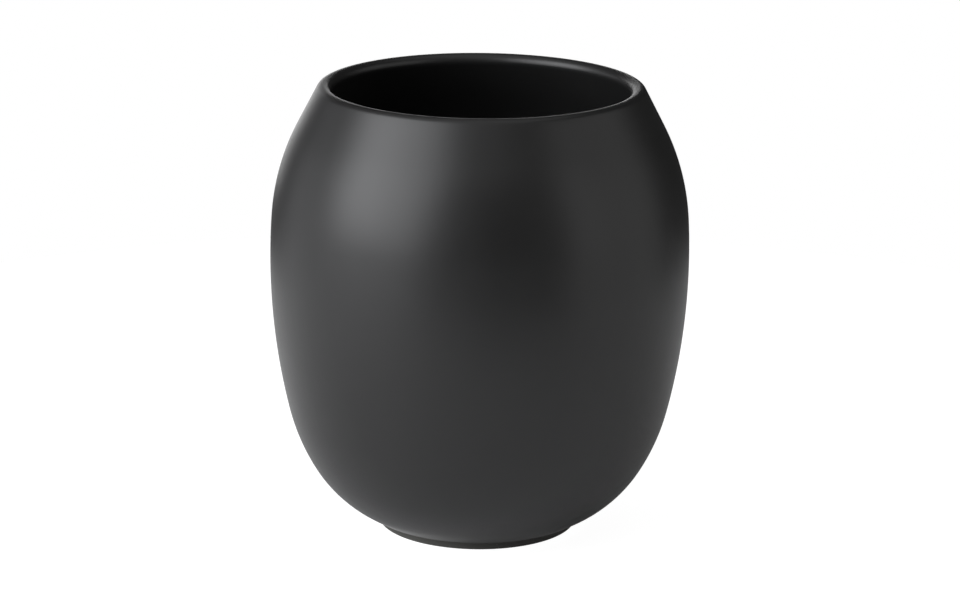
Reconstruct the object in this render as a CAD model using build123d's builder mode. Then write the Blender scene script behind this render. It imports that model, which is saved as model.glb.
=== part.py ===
"""Empty candle jar: a slip-cast stoneware pot, egg-shaped, with a slim bare foot ring.

The clay is fired with three separate coats of glaze: a matt one outside and over the lip, a satin one
inside, and a disc of it under the base. Each is a solid of its own, fused face to face to the clay.
The jar turns about Z and stands on Z = 0. All sizes are in millimetres and degrees.
"""

import os
from math import acos, cos, degrees, radians, sin

from build123d import *

# Outside of the jar. Angles are those of the surface normal, above or below the horizontal.
belly_radius = 45.0
belly_height = 59.3
jar_height = 97.0
side_radius = 141.0
shoulder_radius = 49.6
shoulder_start = 3.7
neck_lean = 27.4
hip_radius = 45.3
hip_start = 13.5
base_radius = 28.9
base_start = 31.1

# Wall, from the outer face to the inner face, with both glazes.
wall = 3.3
glaze = 0.35
floor_height = 5.2
coat_end = 65.2
mouth_seam = 180.0

# Foot ring and the panel inside it.
foot_radius = 21.5
foot_width = 2.8
foot_edge = 0.45
recess_height = 1.5
recess_fillet = 0.6
panel_glaze = 0.3
panel_gap = 1.1
panel_edge = 0.2
coat_lip = 0.25

lip_radius = wall / 2
core_lip_radius = lip_radius - glaze


def at(centre, radius, angle):
    """The point of a circle where its normal makes this angle with the horizontal."""
    return centre[0] + radius * cos(radians(angle)), centre[1] + radius * sin(radians(angle))


# Centres of the arcs. Each arc is tangent to the next, so their centres lie on one common normal.
side_centre = (belly_radius - side_radius, belly_height)
shoulder_centre = at(side_centre, side_radius - shoulder_radius, shoulder_start)
hip_centre = at(side_centre, side_radius - hip_radius, -hip_start)
base_centre = at(hip_centre, hip_radius - base_radius, -base_start)

# The lip is a full round on the middle of the wall, and its crown is the top of the jar.
neck_foot = at(shoulder_centre, shoulder_radius - lip_radius, neck_lean)
neck_length = (jar_height - lip_radius - neck_foot[1]) / cos(radians(neck_lean))
lip_centre = at(neck_foot, neck_length, neck_lean + 90)

# Inside, the last arc runs out level into the floor.
hip_end_inside = at(hip_centre, hip_radius - wall, -base_start)
floor_radius = (hip_end_inside[1] - floor_height) / (1 - sin(radians(base_start)))
floor_centre = at(hip_end_inside, -floor_radius, -base_start)


def wall_curve(depth):
    """Draws the outline from the hip up to the lip, at a depth under the outer face."""
    CenterArc(hip_centre, hip_radius - depth, -base_start, base_start - hip_start)
    CenterArc(side_centre, side_radius - depth, -hip_start, hip_start + shoulder_start)
    CenterArc(
        shoulder_centre, shoulder_radius - depth, shoulder_start, neck_lean - shoulder_start
    )
    Line(
        at(shoulder_centre, shoulder_radius - depth, neck_lean),
        at(lip_centre, lip_radius - depth, neck_lean),
    )


def outside_curve(depth, lowest):
    """Draws the outside from a lowest angle on the base arc up to the lip."""
    CenterArc(base_centre, base_radius - depth, -lowest, lowest - base_start)
    wall_curve(depth)


def inside_curve(depth):
    """Draws the inside from the middle of the floor up to the lip."""
    radius = floor_radius + wall - depth
    level = floor_centre[1] - radius
    Line((0, level), (floor_centre[0], level))
    CenterArc(floor_centre, radius, -90, 90 - base_start)
    wall_curve(depth)
    return level


# The bare clay's base arc lies one glaze thickness under the coat, and ends on the foot's side.
clay_end = degrees(acos((foot_radius - base_centre[0]) / (base_radius - glaze)))
foot_top = at(base_centre, base_radius - glaze, -clay_end)
foot_inner = foot_radius - foot_width


with BuildPart() as clay_body:
    with BuildSketch(Plane.XZ):
        with BuildLine():
            outside_curve(glaze, clay_end)
            CenterArc(lip_centre, core_lip_radius, neck_lean, 180)
            core_floor = inside_curve(wall - glaze)
            Polyline(
                (0, core_floor),
                (0, recess_height),
                (foot_inner, recess_height),
                (foot_inner, 0),
                (foot_radius, 0),
                foot_top,
            )
        make_face()
        fillet(vertices().group_by(Axis.Y)[1].sort_by(Axis.X)[-1], recess_fillet)
        fillet(vertices().group_by(Axis.Y)[0], foot_edge)
    revolve(axis=Axis.Z)
clay_body.part.label = "clay_body"


with BuildPart() as outer_coat:
    with BuildSketch(Plane.XZ):
        with BuildLine():
            outside_curve(0, coat_end)
            CenterArc(lip_centre, lip_radius, neck_lean, mouth_seam - neck_lean)
            Line(
                at(lip_centre, lip_radius, mouth_seam),
                at(lip_centre, core_lip_radius, mouth_seam),
            )
            CenterArc(lip_centre, core_lip_radius, neck_lean, mouth_seam - neck_lean)
            outside_curve(glaze, coat_end)
            Line(
                at(base_centre, base_radius - glaze, -coat_end),
                at(base_centre, base_radius, -coat_end),
            )
        make_face()
        fillet(vertices().sort_by(Axis.Y)[0], coat_lip)
    revolve(axis=Axis.Z)
outer_coat.part.label = "outer_coat"


with BuildPart() as inner_glaze:
    with BuildSketch(Plane.XZ):
        with BuildLine():
            glaze_top = inside_curve(wall)
            seam_to_wall = 180 + neck_lean - mouth_seam
            CenterArc(lip_centre, lip_radius, mouth_seam, seam_to_wall)
            Line(
                at(lip_centre, lip_radius, mouth_seam),
                at(lip_centre, core_lip_radius, mouth_seam),
            )
            CenterArc(lip_centre, core_lip_radius, mouth_seam, seam_to_wall)
            glaze_bottom = inside_curve(wall - glaze)
            Line((0, glaze_bottom), (0, glaze_top))
        make_face()
    revolve(axis=Axis.Z)
inner_glaze.part.label = "inner_glaze"


with BuildPart() as base_glaze:
    with BuildSketch(Plane.XY.offset(recess_height - panel_glaze)):
        Circle(foot_inner - panel_gap)
    extrude(amount=panel_glaze)
    fillet(base_glaze.edges().group_by(Axis.Z)[0], panel_edge)
base_glaze.part.label = "base_glaze"


os.makedirs("parts", exist_ok=True)
for piece in (clay_body, outer_coat, inner_glaze, base_glaze):
    export_step(piece.part, f"parts/{piece.part.label}.step")

print("mouth radius", lip_centre[0] - lip_radius, "neck length", neck_length)
print("floor arc radius", floor_radius, "flat floor radius", floor_centre[0], "foot top", foot_top)
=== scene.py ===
"""Candle Jar: the looks of an egg-shaped stoneware candle jar, laid out as a Blender add-on.

The jar is one fired clay pot under three coats of glaze: a matt black one outside and over the lip, a satin
liner inside, and a disc under the base. Each piece is an outline of arcs, turned about Z by one Geometry
Nodes tree. Everything is in metres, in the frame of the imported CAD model.
"""

from math import acos, cos, hypot, pi, radians, sin, sqrt, tan, tau

import bpy
from bpy.props import FloatProperty, FloatVectorProperty, IntProperty, PointerProperty
from mathutils import Matrix, Vector


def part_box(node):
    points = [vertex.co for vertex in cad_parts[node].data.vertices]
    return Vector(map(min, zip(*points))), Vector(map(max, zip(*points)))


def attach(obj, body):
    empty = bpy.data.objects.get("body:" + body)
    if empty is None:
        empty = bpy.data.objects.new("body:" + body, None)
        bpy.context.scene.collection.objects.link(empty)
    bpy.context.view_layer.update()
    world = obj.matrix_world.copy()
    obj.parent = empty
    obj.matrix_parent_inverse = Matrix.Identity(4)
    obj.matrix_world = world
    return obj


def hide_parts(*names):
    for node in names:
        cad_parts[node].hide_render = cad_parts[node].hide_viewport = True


bl_info = {
    "name": "Candle Jar",
    "version": (1, 0, 0),
    "blender": (4, 5, 0),
    "location": "3D View > Sidebar > Candle Jar",
    "description": "Builds a glazed stoneware candle jar and the studio it stands in",
    "category": "Add Mesh",
}

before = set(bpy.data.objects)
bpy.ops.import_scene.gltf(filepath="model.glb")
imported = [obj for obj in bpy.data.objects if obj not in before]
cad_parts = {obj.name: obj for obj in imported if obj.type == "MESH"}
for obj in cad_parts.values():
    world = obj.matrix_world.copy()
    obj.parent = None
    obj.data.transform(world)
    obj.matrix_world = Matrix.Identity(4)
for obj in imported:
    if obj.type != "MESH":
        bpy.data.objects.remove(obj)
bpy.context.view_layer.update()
MM = 0.001

COAT_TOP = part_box("outer_coat")[1]
LINER_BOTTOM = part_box("inner_glaze")[0].z
PANEL_LOW, PANEL_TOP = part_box("base_glaze")
GLAZE = 0.35 * MM

# Places of a colour Mix node's two colours and of its result.
MIX_A, MIX_B, MIX_RESULT = 6, 7, 2

# How far noise that runs from 0 to 1 mostly strays, either side of its middle.
NOISE_SWING = 0.25

# How finely the outlines are drawn.
LONGEST_CHORD_ANGLE = radians(7.5)
SAME_POINT = 0.001 * MM
CLAY_STEP = 1.6 * MM
GLAZE_STEP = 1.2 * MM
FOOT_STEP = 0.5 * MM
PANEL_STEP = 0.8 * MM


# ------------------------------------------------------------------------------- sizes and finishes


def length(name, description, default):
    """A property that holds a length in metres."""
    return FloatProperty(
        name=name,
        description=description,
        default=default,
        subtype="DISTANCE",
        unit="LENGTH",
        precision=5,
    )


def angle(name, description, default_degrees):
    """A property that holds an angle, given here in degrees."""
    return FloatProperty(
        name=name,
        description=description,
        default=radians(default_degrees),
        subtype="ANGLE",
        unit="ROTATION",
    )


def share(name, description, default):
    """A property that runs from 0 to 1."""
    return FloatProperty(
        name=name, description=description, default=default, min=0, max=1, subtype="FACTOR"
    )


def colour(name, description, default):
    """A property that holds a linear colour."""
    return FloatVectorProperty(
        name=name, description=description, default=default, size=3, subtype="COLOR", min=0, max=1
    )


def radiance(name, description, default):
    """A property that holds the radiance of a light."""
    return FloatProperty(name=name, description=description, default=default, min=0, soft_max=20)


class JarShape(bpy.types.PropertyGroup):
    """The sizes that every piece of the jar is worked out from."""

    belly_radius: length("Belly radius", "Widest radius, over the glaze", COAT_TOP.x)
    belly_height: length("Belly height", "Height of the widest place", 59.3 * MM)
    height: length("Height", "Height of the lip's crown", COAT_TOP.z)
    side_radius: length("Side radius", "Radius of the long arc of the side", 141 * MM)
    shoulder_radius: length("Shoulder radius", "Radius of the arc above the side", 49.6 * MM)
    shoulder_start: angle("Shoulder start", "Tilt of the wall where the shoulder begins", 3.7)
    neck_lean: angle("Neck lean", "Tilt of the straight wall under the lip", 27.4)
    hip_radius: length("Hip radius", "Radius of the arc below the side", 45.3 * MM)
    hip_start: angle("Hip start", "Tilt of the wall where the hip begins", 13.5)
    base_radius: length("Base radius", "Radius of the arc that turns in to the foot", 28.9 * MM)
    base_start: angle("Base start", "Tilt of the wall where the base arc begins", 31.1)
    wall: length("Wall", "Thickness of the wall with its glazes, and the lip's full round", 3.3 * MM)
    glaze: length("Glaze", "Thickness of each glaze on the wall", GLAZE)
    floor_height: length("Floor height", "Height of the glazed floor inside", LINER_BOTTOM + GLAZE)
    foot_radius: length("Foot radius", "Outer radius of the bare foot ring", 21.5 * MM)
    foot_width: length("Foot width", "Width of the foot ring", 2.8 * MM)
    foot_edge: length("Foot edge", "Round on the foot ring's two edges", 0.45 * MM)
    recess_height: length("Recess height", "Depth of the panel inside the foot ring", PANEL_TOP.z)
    recess_fillet: length("Recess fillet", "Round in the corner of the recess", 0.6 * MM)
    coat_end: angle("Coat end", "Tilt of the wall where the outer coat is wiped off", 65.2)
    coat_bead: length("Coat bead", "How much the coat thickens at its wiped edge", 0.12 * MM)
    bead_width: length("Bead width", "Width of the thickened edge", 1.0 * MM)
    edge_fade: length("Edge fade", "Distance from the wiped edge over which its waver dies out", 5 * MM)
    mouth_seam: angle("Mouth seam", "Angle round the lip where the coat meets the liner", 180)
    segments: IntProperty(name="Segments", description="Faces round the jar", default=300, min=24, max=400)
    unevenness: length("Unevenness", "How far the cast wall strays from round", 0.03 * MM)
    edge_waver: length("Edge waver", "How far a wiped glaze edge strays", 0.12 * MM)
    seed: IntProperty(name="Seed", description="Picks the pattern of the unevenness", default=4, min=0)


class JarFinish(bpy.types.PropertyGroup):
    """Colours and surfaces of the glazes and of the bare clay."""

    coat_colour: colour("Coat colour", "Matt glaze outside", (0.0132, 0.0130, 0.0129))
    coat_roughness: share("Coat roughness", "Roughness of the matt glaze", 0.40)
    # A lighter band just over the wiped edge: partly thin glaze, partly a painted highlight along the
    # coat's bead.
    thin_glaze_and_highlight_colour: colour("Broken colour", "Matt glaze where it's thin, at its edge", (0.05, 0.0495, 0.047))
    thin_glaze_and_highlight_width: length("Broken width", "Height of the thin stretch at the wiped edge", 0.8 * MM)
    liner_colour: colour("Liner colour", "Satin glaze inside", (0.0145, 0.0145, 0.0145))
    liner_roughness: share("Liner roughness", "Roughness of the satin glaze", 0.34)
    clay_colour: colour("Clay colour", "Bare fired clay of the foot", (0.054, 0.0535, 0.0490))
    clay_roughness: share("Clay roughness", "Roughness of the bare clay", 0.80)
    peel_size: length("Orange peel size", "Width of the soft dimples in the glaze", 1.6 * MM)
    peel_depth: length("Orange peel depth", "Depth of the soft dimples in the glaze", 0.0035 * MM)
    pinhole_spacing: length("Pinhole spacing", "Distance between pinholes in the glaze", 4.5 * MM)
    pinhole_radius: length("Pinhole radius", "Radius of a pinhole in the glaze", 0.16 * MM)


class JarStudio(bpy.types.PropertyGroup):
    """The camera and the lights round the jar."""

    camera_distance: length("Camera distance", "From the middle of the jar", 755 * MM)
    camera_height: angle("Camera elevation", "Angle of the camera above the horizontal", 15.5)
    camera_roll: angle("Camera roll", "Turn of the camera about its own axis", 0.6)
    target_height: length("Target height", "Height on the axis that the camera looks at", 49.5 * MM)
    lens: FloatProperty(
        name="Lens", description="Focal length in millimetres", default=131.1, min=10, max=300
    )
    camera_shift: FloatProperty(
        name="Shift", description="Sideways shift of the frame, as a share of it", default=0.0008
    )
    key_light: radiance("Key light", "The large softbox at the left", 3.9)
    core_light: radiance("Key core", "What the softbox's brighter half adds", 1.7)
    fill_light: radiance("Fill", "The white board at the right", 0.63)
    strip_light: radiance("Strip", "The bright near edge of the board at the right", 0.7)
    rim_light: radiance("Rim light", "The wall at the left, behind the softbox", 0.8)
    back_light: radiance("Back light", "The lit strip of backdrop above the table, behind the jar", 2.2)
    bounce_light: radiance("Bounce", "The table's far part, below the softbox", 1.16)
    top_light: radiance("Top light", "The weak panel above the camera", 0.6)
    overhead_light: radiance("Overhead light", "The weak panel straight above", 0.5)
    table_radius: length("Table radius", "Radius of the round table top", 250 * MM)
    table_gap: length("Table gap", "How far the table lies under the foot, to keep them apart", 0.02 * MM)
    # Painted light: emission on the table behind the jar, standing in for light falling there.
    painted_table_light: radiance("Table glow", "How much brighter the table is behind the jar", 0.42)
    # Painted light: emission on the table round the foot, a painted pool of key light.
    painted_foot_light: radiance("Foot glow", "How much brighter the table is close to the foot", 0.7)
    ambient: radiance("Ambient", "The dim room all round", 0.03)
    key_tint: colour("Key tint", "Colour of the lights at the left", (0.965, 0.975, 1.0))
    backdrop: radiance("Backdrop", "The white that the camera sees behind the jar", 1.0)
    floor_white: share("Floor white", "Share of the table that stays plain white to the camera", 0.8)


# --------------------------------------------------------------------------------- outlines of arcs


def on_circle(centre, radius, tilt):
    """The point of a circle where its normal is tilted this much above the horizontal."""
    return centre[0] + radius * cos(tilt), centre[1] + radius * sin(tilt)


class Wall:
    """Centres and radii of the wall's arcs. Each arc is tangent to the next one."""

    def __init__(self, shape):
        self.shape = shape
        self.side = (shape.belly_radius - shape.side_radius, shape.belly_height)
        to_shoulder = shape.side_radius - shape.shoulder_radius
        self.shoulder = on_circle(self.side, to_shoulder, shape.shoulder_start)
        self.hip = on_circle(self.side, shape.side_radius - shape.hip_radius, -shape.hip_start)
        self.base = on_circle(self.hip, shape.hip_radius - shape.base_radius, -shape.base_start)
        self.lip_radius = shape.wall / 2
        neck_foot = on_circle(self.shoulder, shape.shoulder_radius - self.lip_radius, shape.neck_lean)
        neck_length = (shape.height - self.lip_radius - neck_foot[1]) / cos(shape.neck_lean)
        self.lip = on_circle(neck_foot, neck_length, shape.neck_lean + pi / 2)
        inner_hip_end = on_circle(self.hip, shape.hip_radius - shape.wall, -shape.base_start)
        self.floor_radius = (inner_hip_end[1] - shape.floor_height) / (1 - sin(shape.base_start))
        self.floor = on_circle(inner_hip_end, -self.floor_radius, -shape.base_start)
        self.wiped_height = on_circle(self.base, shape.base_radius, -shape.coat_end)[1]


class Outline:
    """The outline of a turned piece: points of (radius, height), each with a share of the edge's waver."""

    def __init__(self, step):
        self.step = step
        self.points = []
        self.wavers = []

    def add(self, point, waver=(0, 0)):
        """Adds one point, unless the last one is already there."""
        if self.points:
            last = self.points[-1]
            if hypot(point[0] - last[0], point[1] - last[1]) < SAME_POINT:
                return
        self.points.append(point)
        self.wavers.append(waver)

    def arc(self, centre, radius, start, stop):
        """Adds an arc, in chords of one step or of the longest chord's angle, whichever is shorter."""
        span = abs(stop - start)
        chords = max(2, round(radius * span / self.step), round(span / LONGEST_CHORD_ANGLE))
        for i in range(chords + 1):
            self.add(on_circle(centre, radius, start + (stop - start) * i / chords))

    def line(self, end):
        """Adds a straight stretch from the last point, in lengths of one step."""
        start = self.points[-1]
        lengths = max(1, round(hypot(end[0] - start[0], end[1] - start[1]) / self.step))
        for i in range(1, lengths + 1):
            share_along = i / lengths
            self.add(tuple(a + (b - a) * share_along for a, b in zip(start, end)))

    def reversed(self):
        """The same outline, run the other way."""
        back = Outline(self.step)
        back.points = self.points[::-1]
        back.wavers = self.wavers[::-1]
        return back

    def join(self, other):
        """Adds another outline's points after this one's."""
        for point, waver in zip(other.points, other.wavers):
            self.add(point, waver)

    def close(self):
        """Ends the outline where it began."""
        self.points.append(self.points[0])
        self.wavers.append(self.wavers[0])


def wall_outline(wall, depth, step):
    """The wall from its hip up to its lip, at a depth under the outer face."""
    shape = wall.shape
    outline = Outline(step)
    outline.arc(wall.hip, shape.hip_radius - depth, -shape.base_start, -shape.hip_start)
    outline.arc(wall.side, shape.side_radius - depth, -shape.hip_start, shape.shoulder_start)
    outline.arc(wall.shoulder, shape.shoulder_radius - depth, shape.shoulder_start, shape.neck_lean)
    outline.line(on_circle(wall.lip, wall.lip_radius - depth, shape.neck_lean))
    return outline


def inside_outline(wall, depth, step):
    """The inside from the middle of the floor up to the lip, at a depth under the outer face."""
    outline = Outline(step)
    radius = wall.floor_radius + wall.shape.wall - depth
    outline.add((0, wall.floor[1] - radius))
    outline.line((wall.floor[0], wall.floor[1] - radius))
    outline.arc(wall.floor, radius, -pi / 2, -wall.shape.base_start)
    outline.join(wall_outline(wall, depth, step))
    return outline


def clay_outline(wall):
    """The clay from the middle of its floor, over the lip's core, to the middle of its underside."""
    shape = wall.shape
    foot_inner = shape.foot_radius - shape.foot_width
    clay_radius = shape.base_radius - shape.glaze
    clay_end = acos((shape.foot_radius - wall.base[0]) / clay_radius)
    outline = inside_outline(wall, shape.wall - shape.glaze, CLAY_STEP)
    outline.arc(wall.lip, wall.lip_radius - shape.glaze, pi + shape.neck_lean, shape.neck_lean)
    outline.join(wall_outline(wall, shape.glaze, CLAY_STEP).reversed())
    outline.step = FOOT_STEP
    outline.arc(wall.base, clay_radius, -shape.base_start, -clay_end)
    outline.line((shape.foot_radius, shape.foot_edge))
    outer_edge = (shape.foot_radius - shape.foot_edge, shape.foot_edge)
    outline.arc(outer_edge, shape.foot_edge, 0, -pi / 2)
    outline.line((foot_inner + shape.foot_edge, 0))
    inner_edge = (foot_inner + shape.foot_edge, shape.foot_edge)
    outline.arc(inner_edge, shape.foot_edge, -pi / 2, -pi)
    corner = (foot_inner - shape.recess_fillet, shape.recess_height - shape.recess_fillet)
    outline.line((foot_inner, corner[1]))
    outline.arc(corner, shape.recess_fillet, 0, pi / 2)
    outline.line((0, shape.recess_height))
    return outline


def wiped_edge(wall, depth, steps):
    """The coat's last stretch on the base arc, from its edge up, as points with their wavers.

    The points crowd towards the edge, and the outer face has a low bead there.
    """
    shape = wall.shape
    crowding = 1.5
    points = []
    for i in range(steps + 1):
        along = shape.edge_fade * (i / steps) ** crowding
        tilt = shape.coat_end - along / shape.base_radius
        over_bead = min(1, along / shape.bead_width)
        bead = 0 if depth else shape.coat_bead * sin(pi * sqrt(over_bead)) ** 2
        weight = (1 - along / shape.edge_fade) ** 2
        place = on_circle(wall.base, shape.base_radius - depth + bead, -tilt)
        points.append((place, (weight * sin(tilt), weight * cos(tilt))))
    return points


def coat_outline(wall):
    """The outer coat: up the outside, over the lip to the seam, and back down against the clay."""
    shape = wall.shape
    outer_steps, inner_steps, roll_steps = 26, 14, 8
    outline = Outline(GLAZE_STEP)
    for point, waver in wiped_edge(wall, 0, outer_steps):
        outline.add(point, waver)
    fade_end = -(shape.coat_end - shape.edge_fade / shape.base_radius)
    outline.arc(wall.base, shape.base_radius, fade_end, -shape.base_start)
    outline.join(wall_outline(wall, 0, outline.step))
    outline.arc(wall.lip, wall.lip_radius, shape.neck_lean, shape.mouth_seam)
    outline.arc(wall.lip, wall.lip_radius - shape.glaze, shape.mouth_seam, shape.neck_lean)
    outline.join(wall_outline(wall, shape.glaze, 2 * GLAZE_STEP).reversed())
    outline.arc(wall.base, shape.base_radius - shape.glaze, -shape.base_start, fade_end)
    for point, waver in reversed(wiped_edge(wall, shape.glaze, inner_steps)):
        outline.add(point, waver)
    edge = shape.coat_end
    roll = shape.glaze / 2
    middle = on_circle(wall.base, shape.base_radius - roll, -edge)
    for i in range(1, roll_steps):
        outline.add(on_circle(middle, roll, pi - edge - pi * i / roll_steps), (sin(edge), cos(edge)))
    outline.close()
    return outline


def liner_outline(wall):
    """The liner glaze: from the middle of the floor up to the seam, and back against the clay."""
    shape = wall.shape
    outline = inside_outline(wall, shape.wall, GLAZE_STEP)
    core = wall.lip_radius - shape.glaze
    outline.arc(wall.lip, wall.lip_radius, pi + shape.neck_lean, shape.mouth_seam)
    outline.arc(wall.lip, core, shape.mouth_seam, pi + shape.neck_lean)
    outline.join(inside_outline(wall, shape.wall - shape.glaze, 2 * GLAZE_STEP).reversed())
    return outline


def panel_outline():
    """The glaze disc under the base, with its rim rounded off by surface tension."""
    rim_radius = PANEL_TOP.x
    thickness = PANEL_TOP.z - PANEL_LOW.z
    round_width = 1.2 * MM
    round_steps = 12
    fading = 6
    outline = Outline(PANEL_STEP)
    outline.add((0, PANEL_TOP.z))
    outline.line((rim_radius, PANEL_TOP.z))
    outline.wavers = [(min(1, point[0] / rim_radius) ** fading, 0) for point in outline.points]
    for i in range(1, round_steps + 1):
        turn = pi / 2 * i / round_steps
        point = (rim_radius - round_width * (1 - cos(turn)), PANEL_TOP.z - thickness * sin(turn))
        outline.add(point, (1, 0))
    flat = rim_radius - round_width
    outline.line((0, PANEL_LOW.z))
    for i, point in enumerate(outline.points):
        if point[1] == PANEL_LOW.z and point[0] < flat:
            outline.wavers[i] = ((point[0] / flat) ** fading, 0)
    return outline


# --------------------------------------------------------------------------------- node tree helper


class Tree:
    """Adds nodes to a node tree, each with its settings and its inputs."""

    def __init__(self, tree):
        self.tree = tree

    def node(self, kind, inputs=None, **settings):
        """Adds a node. An input's key is its name or place, and its value a number or a node's output."""
        node = self.tree.nodes.new(kind)
        for name, value in settings.items():
            setattr(node, name, value)
        for key, value in (inputs or {}).items():
            if isinstance(value, bpy.types.NodeSocket):
                self.tree.links.new(value, node.inputs[key])
            else:
                node.inputs[key].default_value = value
        return node

    def math(self, operation, *values):
        """The result of a Math node."""
        return self.node("ShaderNodeMath", dict(enumerate(values)), operation=operation).outputs[0]

    def vector(self, operation, *values):
        """The first result of a Vector Math node."""
        return self.node("ShaderNodeVectorMath", dict(enumerate(values)), operation=operation).outputs[0]


# ---------------------------------------------------------------------------------- turning a piece


def turning_tree():
    """The Geometry Nodes tree that turns an outline about Z.

    It makes the wall a little out of round, as casting does, and lets a wiped glaze edge waver.
    """
    cast_scale = 28
    edge_scale = 3.5
    full_swing = 1 / NOISE_SWING
    weld_distance = 0.002 * MM
    sharpest_smooth_edge = radians(50)
    group = bpy.data.node_groups.new("Turn outline", "GeometryNodeTree")
    group.is_modifier = True
    sockets = group.interface
    sockets.new_socket("Outline", in_out="INPUT", socket_type="NodeSocketGeometry")
    sockets.new_socket("Segments", in_out="INPUT", socket_type="NodeSocketInt")
    sockets.new_socket("Unevenness", in_out="INPUT", socket_type="NodeSocketFloat")
    sockets.new_socket("Edge Waver", in_out="INPUT", socket_type="NodeSocketFloat")
    sockets.new_socket("Seed", in_out="INPUT", socket_type="NodeSocketFloat")
    sockets.new_socket("Finish", in_out="INPUT", socket_type="NodeSocketMaterial")
    sockets.new_socket("Piece", in_out="OUTPUT", socket_type="NodeSocketGeometry")
    t = Tree(group)
    given = t.node("NodeGroupInput").outputs
    outline_size = t.node("GeometryNodeAttributeDomainSize", {0: given["Outline"]}, component="MESH")
    rows = outline_size.outputs["Point Count"]
    columns = t.math("ADD", given["Segments"], 1)
    grid = t.node("GeometryNodeMeshGrid", {"Vertices X": columns, "Vertices Y": rows}).outputs["Mesh"]

    index = t.node("GeometryNodeInputIndex").outputs[0]
    row = t.math("MODULO", index, rows)
    column = t.math("FLOOR", t.math("DIVIDE", index, rows))
    turn = t.math("MULTIPLY", t.math("DIVIDE", column, given["Segments"]), tau)

    def turned(value):
        """A vector of the outline, read at this vertex's row and turned to its column."""
        sample = t.node("GeometryNodeSampleIndex", data_type="FLOAT_VECTOR", domain="POINT")
        group.links.new(given["Outline"], sample.inputs["Geometry"])
        group.links.new(value, sample.inputs["Value"])
        group.links.new(row, sample.inputs["Index"])
        return t.node(
            "ShaderNodeVectorRotate", {"Vector": sample.outputs[0], "Angle": turn}, rotation_type="Z_AXIS"
        ).outputs[0]

    place = turned(t.node("GeometryNodeInputPosition").outputs[0])
    waver = t.node("GeometryNodeInputNamedAttribute", {"Name": "waver"}, data_type="FLOAT_VECTOR")
    waver = turned(waver.outputs["Attribute"])

    outward = t.vector("NORMALIZE", t.vector("MULTIPLY", place, (1, 1, 0)))
    cast_noise = t.node(
        "ShaderNodeTexNoise",
        {"Vector": place, "W": given["Seed"], "Scale": cast_scale, "Detail": 1, "Roughness": 0.4},
        noise_dimensions="4D",
    ).outputs["Fac"]
    cast = t.math("MULTIPLY", t.math("SUBTRACT", cast_noise, 0.5), given["Unevenness"])
    edge_noise = t.node(
        "ShaderNodeTexNoise",
        {"Vector": outward, "W": given["Seed"], "Scale": edge_scale, "Detail": 3, "Roughness": 0.55},
        noise_dimensions="4D",
    ).outputs["Fac"]
    wiped = t.math("MULTIPLY", t.math("SUBTRACT", edge_noise, 0.5), given["Edge Waver"])

    def scaled(vector, factor):
        """A vector, times a number."""
        return t.node(
            "ShaderNodeVectorMath", {"Vector": vector, "Scale": factor}, operation="SCALE"
        ).outputs[0]

    place = t.vector("ADD", place, scaled(outward, t.math("MULTIPLY", cast, full_swing)))
    place = t.vector("ADD", place, scaled(waver, t.math("MULTIPLY", wiped, full_swing)))
    shaped = t.node("GeometryNodeSetPosition", {"Geometry": grid, "Position": place}).outputs[0]
    closed = t.node(
        "GeometryNodeMergeByDistance", {"Geometry": shaped, "Distance": weld_distance}
    ).outputs[0]
    smooth = t.node(
        "GeometryNodeSetShadeSmooth", {"Geometry": closed, "Shade Smooth": True}, domain="FACE"
    ).outputs[0]
    bend = t.node("GeometryNodeInputMeshEdgeAngle").outputs["Unsigned Angle"]
    gentle = t.node(
        "FunctionNodeCompare", {0: bend, 1: sharpest_smooth_edge}, operation="LESS_THAN"
    ).outputs[0]
    edged = t.node(
        "GeometryNodeSetShadeSmooth", {"Geometry": smooth, "Shade Smooth": gentle}, domain="EDGE"
    ).outputs[0]
    real = t.node("GeometryNodeRealizeInstances", {"Geometry": edged}).outputs[0]
    finished = t.node("GeometryNodeSetMaterial", {"Geometry": real, "Material": given["Finish"]}).outputs[0]
    t.node("NodeGroupOutput", {0: finished})
    return group


def turn_piece(name, outline, finish, shape, unevenness, edge_waver):
    """Turns an outline into a plain closed mesh that faces outwards, and returns its object."""
    chain = bpy.data.meshes.new(name + "_outline")
    chain.from_pydata(
        [(x, 0, z) for x, z in outline.points], [(i, i + 1) for i in range(len(outline.points) - 1)], []
    )
    waver = chain.attributes.new("waver", "FLOAT_VECTOR", "POINT")
    for entry, (x, z) in zip(waver.data, outline.wavers):
        entry.vector = (x, 0, z)
    piece = bpy.data.objects.new(name, chain)
    bpy.context.scene.collection.objects.link(piece)
    modifier = piece.modifiers.new("Turn", "NODES")
    modifier.node_group = bpy.data.node_groups.get("Turn outline") or turning_tree()
    given = {
        "Segments": shape.segments,
        "Unevenness": unevenness,
        "Edge Waver": edge_waver,
        "Seed": float(shape.seed),
        "Finish": finish,
    }
    for socket in modifier.node_group.interface.items_tree:
        if socket.name in given:
            modifier[socket.identifier] = given[socket.name]
    bpy.context.view_layer.update()
    turned = piece.evaluated_get(bpy.context.evaluated_depsgraph_get())
    mesh = bpy.data.meshes.new_from_object(turned)
    piece.modifiers.remove(modifier)
    piece.data = mesh
    mesh.name = name
    bpy.data.meshes.remove(chain)
    if signed_volume(mesh) < 0:
        mesh.flip_normals()
    return piece


def signed_volume(mesh):
    """The volume inside a closed mesh, negative where its faces point inwards."""
    mesh.calc_loop_triangles()
    corners = [vertex.co for vertex in mesh.vertices]
    triangles = (triangle.vertices for triangle in mesh.loop_triangles)
    return sum(corners[a].dot(corners[b].cross(corners[c])) for a, b, c in triangles) / 6


# ----------------------------------------------------------------------------------------- finishes


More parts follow.
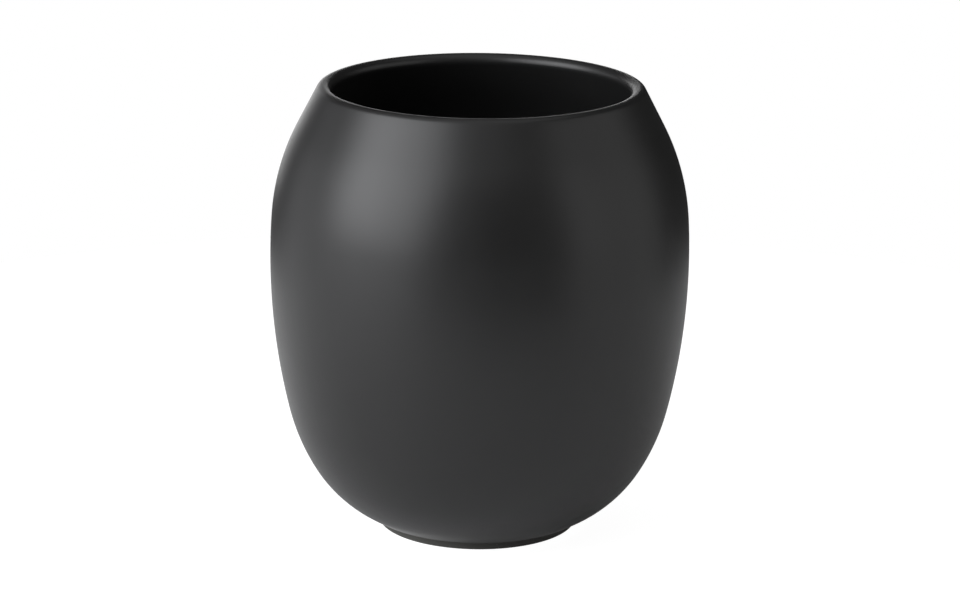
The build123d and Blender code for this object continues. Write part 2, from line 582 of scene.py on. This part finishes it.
def new_material(name):
    """An empty material, its node helper, its Principled shader and the piece's own coordinates."""
    material = bpy.data.materials.new(name)
    material.use_nodes = True
    material.node_tree.nodes.clear()
    t = Tree(material.node_tree)
    shader = t.node("ShaderNodeBsdfPrincipled")
    t.node("ShaderNodeOutputMaterial", {"Surface": shader.outputs[0]})
    place = t.node("ShaderNodeTexCoord").outputs["Object"]
    return material, t, shader, place


def noise(t, place, size, detail=2.0, roughness=0.5):
    """Noise from 0 to 1 whose features are about this size, in metres."""
    return t.node(
        "ShaderNodeTexNoise", {"Vector": place, "Scale": 1 / size, "Detail": detail, "Roughness": roughness}
    ).outputs["Fac"]


def spread(t, value, low, high):
    """Maps a value from 0 to 1 to another range."""
    return t.node("ShaderNodeMapRange", {"Value": value, "To Min": low, "To Max": high}).outputs[0]


def ramp(t, value, given, wanted):
    """Maps a value from one range to another with a smooth start and end, and holds it outside them."""
    limits = dict(zip(("From Min", "From Max", "To Min", "To Max"), (*given, *wanted)))
    return t.node(
        "ShaderNodeMapRange", {"Value": value, **limits}, interpolation_type="SMOOTHSTEP"
    ).outputs[0]


def tinted(t, tint, darkest, lightest, factor):
    """A colour that varies between a darker and a lighter share of itself."""
    mix = t.node("ShaderNodeMix", {"Factor": factor}, data_type="RGBA")
    mix.inputs[MIX_A].default_value = (*(darkest * c for c in tint), 1)
    mix.inputs[MIX_B].default_value = (*(lightest * c for c in tint), 1)
    return mix.outputs[MIX_RESULT]


def bump(t, height, distance, normal=None):
    """A normal bent by a height from 0 to 1, over a normal that is already bent where one is given."""
    inputs = {"Height": height, "Strength": 1, "Distance": distance}
    if normal:
        inputs["Normal"] = normal
    return t.node("ShaderNodeBump", inputs).outputs[0]


def glaze_material(name, tint, roughness, finish, peel=1.0, wiped_height=0.0):
    """A fired glaze: soft dimples, fine tooth, a few pinholes, and a little cloudiness in colour and gloss.

    Just over the height at which it was wiped off, it turns a lighter colour all round: partly thin glaze,
    partly a painted highlight along the bead.
    """
    cloud_size = 14 * MM
    tooth_size = 0.45 * MM
    tooth_depth = 0.0012 * MM
    pinhole_depth = 0.012 * MM
    gloss_spread = 0.05
    cloud_share, fine_share = 0.6, 0.4
    pinhole_bottom = 0.3 * finish.pinhole_radius
    darkest, lightest = 0.85, 1.15

    material, t, shader, place = new_material(name)
    cloud = noise(t, place, cloud_size, detail=3)
    fine = noise(t, place, tooth_size, detail=2)
    dimples = noise(t, place, finish.peel_size, detail=1.5)
    cells = t.node(
        "ShaderNodeTexVoronoi", {"Vector": place, "Scale": 1 / finish.pinhole_spacing, "Randomness": 1}
    )
    distance = t.math("MULTIPLY", cells.outputs["Distance"], finish.pinhole_spacing)
    pinhole = ramp(t, distance, (pinhole_bottom, finish.pinhole_radius), (0, 1))

    # A lighter band over the wiped edge, partly thin glaze and partly a painted highlight along the bead.
    height = t.node("ShaderNodeSeparateXYZ", {0: place}).outputs["Z"]
    waver = t.math("MULTIPLY", t.math("SUBTRACT", cloud, 0.5), finish.thin_glaze_and_highlight_width)
    thick_from = wiped_height + finish.thin_glaze_and_highlight_width
    thin = ramp(t, t.math("ADD", height, waver), (wiped_height, thick_from), (1, 0))
    clouded = tinted(t, tint, darkest, lightest, cloud)
    thin_glaze_and_highlight_mix = t.node("ShaderNodeMix", {"Factor": thin, MIX_A: clouded}, data_type="RGBA")
    thin_glaze_and_highlight_mix.inputs[MIX_B].default_value = (*finish.thin_glaze_and_highlight_colour, 1)
    t.tree.links.new(thin_glaze_and_highlight_mix.outputs[MIX_RESULT], shader.inputs["Base Color"])

    patchy = t.math("ADD", t.math("MULTIPLY", cloud, cloud_share), t.math("MULTIPLY", fine, fine_share))
    uneven_gloss = spread(t, patchy, roughness - gloss_spread, roughness + gloss_spread)
    t.tree.links.new(uneven_gloss, shader.inputs["Roughness"])
    shader.inputs["IOR"].default_value = 1.5

    bumps = bump(t, dimples, peel * finish.peel_depth / (2 * NOISE_SWING))
    tooth = bump(t, fine, tooth_depth, bumps)
    pits = bump(t, pinhole, pinhole_depth, tooth)
    t.tree.links.new(pits, shader.inputs["Normal"])
    return material


def coat_material(name, finish, **details):
    """The matt black glaze."""
    return glaze_material(name, finish.coat_colour, finish.coat_roughness, finish, **details)


def liner_material(finish):
    """The satin glaze of the inside."""
    return glaze_material("satin_liner_glaze", finish.liner_colour, finish.liner_roughness, finish)


def clay_material(finish):
    """Bare black stoneware: sandy grain, lighter specks, and the rings that the turning tool left."""
    grain_size = 0.3 * MM
    grain_depth = 0.03 * MM
    cloud_size = 5 * MM
    speck_spacing = 1.1 * MM
    ring_spacing = 0.42 * MM
    ring_depth = 0.006 * MM
    ring_waver = 0.5 * MM
    glossiest, dullest = finish.clay_roughness - 0.08, finish.clay_roughness + 0.1
    darkest, lightest = 0.7, 1.35
    speck_lightness, speck_strength = 3, 0.5
    speck_full, speck_ends = 0.08, 0.16

    material, t, shader, place = new_material("bare_clay")
    grain = noise(t, place, grain_size, detail=4, roughness=0.65)
    cloud = noise(t, place, cloud_size, detail=3)
    cells = t.node("ShaderNodeTexVoronoi", {"Vector": place, "Scale": 1 / speck_spacing})
    speck = t.node(
        "ShaderNodeMapRange",
        {
            "Value": cells.outputs["Distance"],
            "From Min": speck_full,
            "From Max": speck_ends,
            "To Min": speck_strength,
            "To Max": 0,
        },
    ).outputs[0]
    mottle = t.math("MULTIPLY", t.math("ADD", grain, cloud), 0.5)
    base = tinted(t, finish.clay_colour, darkest, lightest, mottle)
    specked = t.node("ShaderNodeMix", {"Factor": speck, MIX_A: base}, data_type="RGBA")
    specked.inputs[MIX_B].default_value = (*(speck_lightness * c for c in finish.clay_colour), 1)
    t.tree.links.new(specked.outputs[MIX_RESULT], shader.inputs["Base Color"])
    dullness = spread(t, grain, glossiest, dullest)
    t.tree.links.new(dullness, shader.inputs["Roughness"])
    shader.inputs["IOR"].default_value = 1.45

    level = t.vector("MULTIPLY", place, (1, 1, 0))
    radius = t.node("ShaderNodeVectorMath", {0: level}, operation="LENGTH").outputs["Value"]
    height = t.node("ShaderNodeSeparateXYZ", {0: place}).outputs["Z"]
    along = t.math("ADD", radius, t.math("ADD", height, t.math("MULTIPLY", cloud, ring_waver)))
    rings = t.math("SINE", t.math("MULTIPLY", along, tau / ring_spacing))
    sandy = bump(t, grain, grain_depth, bump(t, rings, ring_depth))
    t.tree.links.new(sandy, shader.inputs["Normal"])
    return material


# ------------------------------------------------------------------------------------------- studio


# Each light's name, the property that holds its radiance, its azimuth and elevation from the jar's middle,
# the half angles of its width and height as seen from there, all in degrees, its distance, and whether it
# has the key's tint. The nearer ones stand just in front of those that they overlap.
LIGHTS = (
    ("key_softbox", "key_light", (-58.5, 26), (27, 26), 900 * MM, True),
    ("key_core", "core_light", (-73, 22), (14, 18), 890 * MM, True),
    ("low_bounce", "bounce_light", (-64, -7), (33, 7), 900 * MM, True),
    ("left_wall", "rim_light", (-113.5, 1), (14.5, 18), 900 * MM, True),
    ("right_board", "fill_light", (81, 14), (30, 28), 900 * MM, False),
    ("right_strip", "strip_light", (56, 15), (6, 27), 880 * MM, False),
    ("front_top", "top_light", (8.5, 49), (11, 11), 900 * MM, False),
    ("overhead", "overhead_light", (0, 90), (28, 28), 900 * MM, False),
    ("back_strip", "back_light", (191.5, 3), (17.5, 11), 1000 * MM, False),
)
WHITE = (1, 1, 1)


def aim(looker, place, target, roll=0.0):
    """Puts a camera or a light at a place, looking at a target."""
    looker.location = place
    turn = (target - place).to_track_quat("-Z", "Y").to_matrix().to_4x4()
    looker.matrix_world = Matrix.Translation(place) @ turn @ Matrix.Rotation(roll, 4, "Z")


def direction(azimuth, elevation):
    """A unit vector. Azimuth 0 is towards the camera's side, -Y, and grows towards +X."""
    return Vector((sin(azimuth) * cos(elevation), -cos(azimuth) * cos(elevation), sin(elevation)))


def add_panel(name, brightness, bearing, half_angles, distance, target, tint):
    """An even soft light of a given radiance, which the camera doesn't see. Its angles are in degrees."""
    width, height = (2 * distance * tan(radians(half)) for half in half_angles)
    light = bpy.data.lights.new(name, "AREA")
    light.shape = "RECTANGLE"
    light.size = width
    light.size_y = height
    light.energy = brightness * pi * width * height
    light.color = tint
    panel = bpy.data.objects.new(name, light)
    bpy.context.scene.collection.objects.link(panel)
    panel.visible_camera = False
    azimuth, elevation = (radians(given) for given in bearing)
    aim(panel, target + direction(azimuth, elevation) * distance, target)


def build_camera(studio):
    """The camera, on the -Y side of the jar and a little above it."""
    camera = bpy.data.objects.new("camera", bpy.data.cameras.new("camera"))
    bpy.context.scene.collection.objects.link(camera)
    camera.data.sensor_width = 36
    camera.data.lens = studio.lens
    camera.data.shift_x = studio.camera_shift
    camera.data.clip_start = 10 * MM
    target = Vector((0, 0, studio.target_height))
    place = target + direction(0, studio.camera_height) * studio.camera_distance
    aim(camera, place, target, studio.camera_roll)
    bpy.context.scene.camera = camera


def build_lights(studio):
    """The soft lights: a big one at the left, weaker boards round the jar, and a lit strip behind it."""
    middle = Vector((0, 0, studio.target_height))
    for name, brightness, bearing, half_angles, distance, tinted_key in LIGHTS:
        tint = studio.key_tint if tinted_key else WHITE
        add_panel(name, getattr(studio, brightness), bearing, half_angles, distance, middle, tint)


def build_world(studio):
    """A white backdrop for the camera that lights the jar only dimly."""
    world = bpy.data.worlds.new("studio")
    bpy.context.scene.world = world
    world.use_nodes = True
    world.node_tree.nodes.clear()
    t = Tree(world.node_tree)
    seen = t.node("ShaderNodeBackground", {"Strength": studio.backdrop}).outputs[0]
    dim = t.node("ShaderNodeBackground", {"Strength": studio.ambient}).outputs[0]
    for background in (seen, dim):
        background.node.inputs["Color"].default_value = (*WHITE, 1)
    to_camera = t.node("ShaderNodeLightPath").outputs["Is Camera Ray"]
    mix = t.node("ShaderNodeMixShader", {0: to_camera, 1: dim, 2: seen}).outputs[0]
    t.node("ShaderNodeOutputWorld", {"Surface": mix})


def floor_material(studio):
    """Matt white with painted light: emission that paints a pool of light on the table behind the jar and
    round its foot, brighter on the key light's side.

    To the camera most of it is as white as the backdrop, so the shadow on it is faint.
    """
    whiteness = 0.9
    over_backdrop = 1.2
    # Where the painted light on the table starts, peaks and fades.
    glow_starts, glow_full = -30 * MM, 80 * MM
    glow_wanes, glow_low, low_share = 140 * MM, 240 * MM, 0.2
    side_reach, left_share, right_share = 60 * MM, 0.76, 0.42
    ring_full, ring_ends = 22.5 * MM, 25.2 * MM
    key_side_full, key_side_ends, far_side_share = -24 * MM, 4 * MM, 0.12

    material, t, shader, place = new_material("floor")
    shader.inputs["Base Color"].default_value = (whiteness, whiteness, whiteness, 1)
    shader.inputs["Roughness"].default_value = 0.9
    shader.inputs["Specular IOR Level"].default_value = 0
    across, behind, _ = t.node("ShaderNodeSeparateXYZ", {0: place}).outputs
    out = t.node("ShaderNodeVectorMath", {0: place}, operation="LENGTH").outputs["Value"]
    # Painted light behind the jar: brighter near it, fading far back, and brighter on the key light's side
    # than on the shadowed right.
    near = ramp(t, behind, (glow_starts, glow_full), (0, studio.painted_table_light))
    far = ramp(t, behind, (glow_wanes, glow_low), (1, low_share))
    side = ramp(t, across, (-side_reach, side_reach), (left_share, right_share))
    # Painted light round the foot: a bright ring on the table, kept mostly on the key light's side.
    ring = ramp(t, out, (ring_full, ring_ends), (studio.painted_foot_light, 0))
    painted_key_side_share = ramp(t, across, (key_side_full, key_side_ends), (1, far_side_share))
    painted_back_light = t.math("MULTIPLY", t.math("MULTIPLY", near, far), side)
    lit = t.math("ADD", painted_back_light, t.math("MULTIPLY", ring, painted_key_side_share))
    # The painted light is emission added on top of the plainly lit table.
    glow = t.node("ShaderNodeEmission", {"Strength": lit}).outputs[0]
    table = t.node("ShaderNodeAddShader", {0: shader.outputs[0], 1: glow}).outputs[0]
    white = t.node("ShaderNodeEmission", {"Strength": over_backdrop * studio.backdrop}).outputs[0]
    to_camera = t.node("ShaderNodeLightPath").outputs["Is Camera Ray"]
    amount = t.math("MULTIPLY", to_camera, studio.floor_white)
    mix = t.node("ShaderNodeMixShader", {0: amount, 1: table, 2: white}).outputs[0]
    t.tree.links.new(mix, t.tree.nodes["Material Output"].inputs["Surface"])
    return material


def build_floor(studio):
    """A round white table top, a hair under the foot."""
    corners = 96
    rim = [on_circle((0, 0), studio.table_radius, tau * i / corners) for i in range(corners)]
    mesh = bpy.data.meshes.new("floor")
    mesh.from_pydata([(x, y, -studio.table_gap) for x, y in rim], [], [range(corners)])
    mesh.materials.append(floor_material(studio))
    floor = bpy.data.objects.new("floor", mesh)
    bpy.context.scene.collection.objects.link(floor)


# ---------------------------------------------------------------------------------------- operators


def hand_over(piece, node):
    """Hides the CAD node that a finished piece stands for, and hangs the piece under the root body."""
    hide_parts(node)
    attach(piece, "root")


class BuildClayBody(bpy.types.Operator):
    """Build the fired clay pot with its bare foot ring"""

    bl_idname = "candle_jar.clay_body"
    bl_label = "Clay Body"
    bl_options = {"REGISTER", "UNDO"}

    def execute(self, context):
        shape = context.scene.jar_shape
        clay = clay_material(context.scene.jar_finish)
        piece = turn_piece("clay_pot", clay_outline(Wall(shape)), clay, shape, shape.unevenness, 0)
        hand_over(piece, "clay_body")
        return {"FINISHED"}


class BuildOuterCoat(bpy.types.Operator):
    """Build the matt black coat of the outside and the lip"""

    bl_idname = "candle_jar.outer_coat"
    bl_label = "Outer Coat"
    bl_options = {"REGISTER", "UNDO"}

    def execute(self, context):
        shape = context.scene.jar_shape
        finish = context.scene.jar_finish
        wall = Wall(shape)
        glaze = coat_material("matt_black_glaze", finish, wiped_height=wall.wiped_height)
        outline = coat_outline(wall)
        piece = turn_piece("matt_coat", outline, glaze, shape, shape.unevenness, shape.edge_waver)
        hand_over(piece, "outer_coat")
        return {"FINISHED"}


class BuildInnerGlaze(bpy.types.Operator):
    """Build the satin liner of the inside"""

    bl_idname = "candle_jar.inner_glaze"
    bl_label = "Inner Glaze"
    bl_options = {"REGISTER", "UNDO"}

    def execute(self, context):
        shape = context.scene.jar_shape
        glaze = liner_material(context.scene.jar_finish)
        piece = turn_piece("liner", liner_outline(Wall(shape)), glaze, shape, shape.unevenness, 0)
        hand_over(piece, "inner_glaze")
        return {"FINISHED"}


class BuildBaseGlaze(bpy.types.Operator):
    """Build the disc of glaze inside the foot ring"""

    bl_idname = "candle_jar.base_glaze"
    bl_label = "Base Glaze"
    bl_options = {"REGISTER", "UNDO"}

    def execute(self, context):
        shape = context.scene.jar_shape
        coarser_peel = 1.6
        edge_waver = 3 * shape.edge_waver
        glaze = coat_material("base_panel_glaze", context.scene.jar_finish, peel=coarser_peel)
        piece = turn_piece("base_panel", panel_outline(), glaze, shape, 0, edge_waver)
        hand_over(piece, "base_glaze")
        return {"FINISHED"}


class BuildStage(bpy.types.Operator):
    """Set up the table, the backdrop, the lights and the camera"""

    bl_idname = "candle_jar.stage"
    bl_label = "Studio"
    bl_options = {"REGISTER", "UNDO"}

    def execute(self, context):
        studio = context.scene.jar_studio
        build_camera(studio)
        build_world(studio)
        build_floor(studio)
        build_lights(studio)
        context.scene.view_settings.view_transform = "Standard"
        return {"FINISHED"}


class CandleJarPanel(bpy.types.Panel):
    """The sidebar panel that lists the jar's pieces and its sizes"""

    bl_idname = "VIEW3D_PT_candle_jar"
    bl_label = "Candle Jar"
    bl_space_type = "VIEW_3D"
    bl_region_type = "UI"
    bl_category = "Candle Jar"

    def draw(self, context):
        for operator in OPERATORS:
            self.layout.operator(operator.bl_idname)
        for group in (context.scene.jar_shape, context.scene.jar_finish, context.scene.jar_studio):
            box = self.layout.box()
            for name in group.bl_rna.properties.keys():
                if name not in {"rna_type", "name"}:
                    box.prop(group, name)


GROUPS = (JarShape, JarFinish, JarStudio)
OPERATORS = (BuildClayBody, BuildOuterCoat, BuildInnerGlaze, BuildBaseGlaze, BuildStage)


def register():
    for cls in GROUPS + OPERATORS + (CandleJarPanel,):
        bpy.utils.register_class(cls)
    bpy.types.Scene.jar_shape = PointerProperty(type=JarShape)
    bpy.types.Scene.jar_finish = PointerProperty(type=JarFinish)
    bpy.types.Scene.jar_studio = PointerProperty(type=JarStudio)


def unregister():
    del bpy.types.Scene.jar_studio
    del bpy.types.Scene.jar_finish
    del bpy.types.Scene.jar_shape
    for cls in reversed(GROUPS + OPERATORS + (CandleJarPanel,)):
        bpy.utils.unregister_class(cls)


def main():
    """Builds the jar and its studio."""
    register()
    bpy.ops.candle_jar.clay_body()
    bpy.ops.candle_jar.outer_coat()
    bpy.ops.candle_jar.inner_glaze()
    bpy.ops.candle_jar.base_glaze()
    bpy.ops.candle_jar.stage()


if __name__ == "__main__":
    main()
